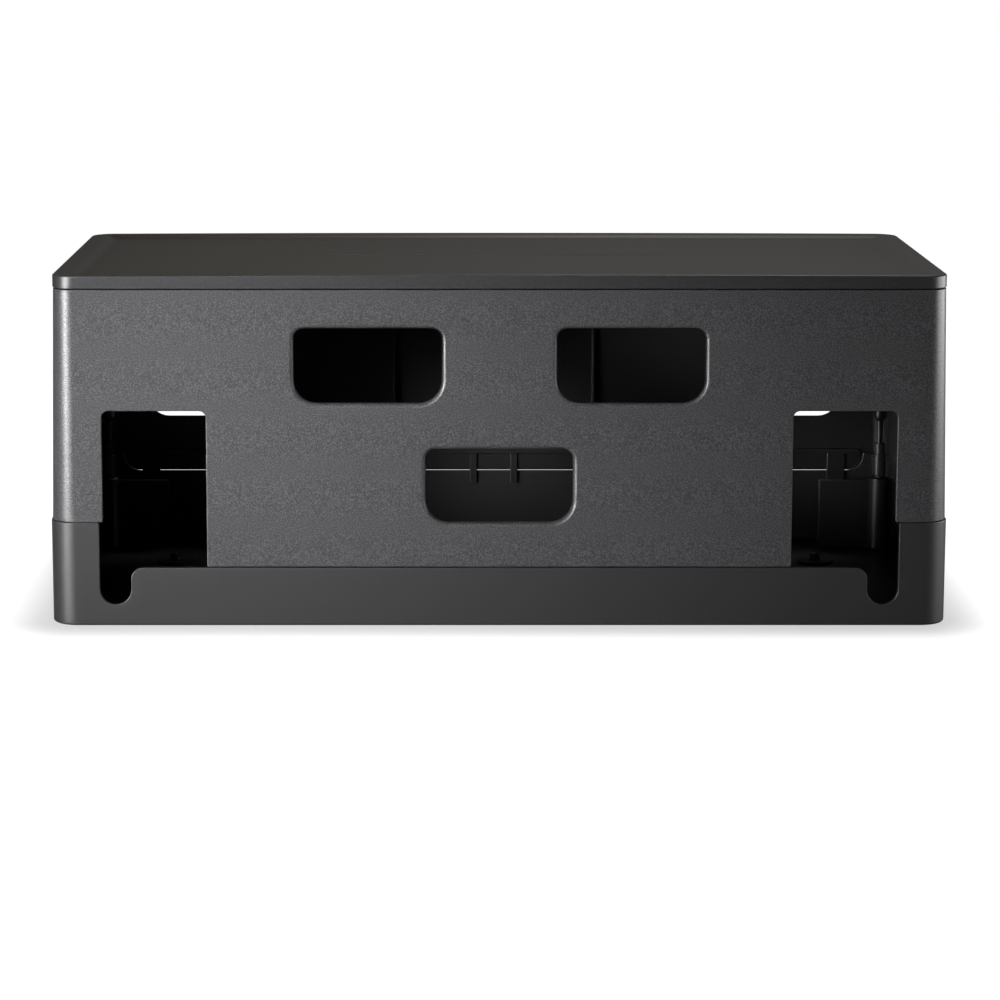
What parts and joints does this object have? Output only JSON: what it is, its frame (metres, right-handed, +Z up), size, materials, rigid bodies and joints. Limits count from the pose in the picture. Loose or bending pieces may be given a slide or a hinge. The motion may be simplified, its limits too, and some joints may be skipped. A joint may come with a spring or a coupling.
{
  "type": "cable management box",
  "caption": "Long covered box for a power strip and its cords, with a tray base, a lift-off cover with cable holes and cord notches, and a dished lid.",
  "frame": {"origin": "centre of the footprint, on the surface that the box stands on", "axes": "+X along the box's length, to the right as seen from the cable side; +Y from the cable side, which has the row of round-cornered cable holes, to the front; +Z up"},
  "size_m": [0.406, 0.178, 0.1604],
  "materials": {
    "cover_plastic": "fine spark-eroded grain, satin sheen",
    "tray_plastic": "fine spark-eroded grain, satin sheen",
    "lid_plastic": "smoother satin on top, fine grain on the edge",
    "foot_rubber": "soft satin",
    "bush_rubber": "soft satin",
    "pad_rubber": "soft satin"
  },
  "bodies": {
    "tray": {"base_tray": "tray_plastic", "foot_rear_left": "foot_rubber", "foot_rear_right": "foot_rubber", "foot_front_left": "foot_rubber", "foot_front_right": "foot_rubber"},
    "cover": {"cover_shell": "cover_plastic", "post_bush_rear_left": "bush_rubber", "post_bush_rear_right": "bush_rubber", "post_bush_front_left": "bush_rubber", "post_bush_front_right": "bush_rubber", "lid_pad_rear_left": "pad_rubber", "lid_pad_rear_right": "pad_rubber", "lid_pad_front_left": "pad_rubber", "lid_pad_front_right": "pad_rubber"},
    "lid": {"lid": "lid_plastic"}
  },
  "joints": [
    {"name": "cover_lift", "type": "slide", "parent": "tray", "child": "cover", "axis": [0, 0, 1], "range_m": [0, 0.06]},
    {"name": "lid_lift", "type": "slide", "parent": "cover", "child": "lid", "axis": [0, 0, 1], "range_m": [0, 0.06]}
  ]
}
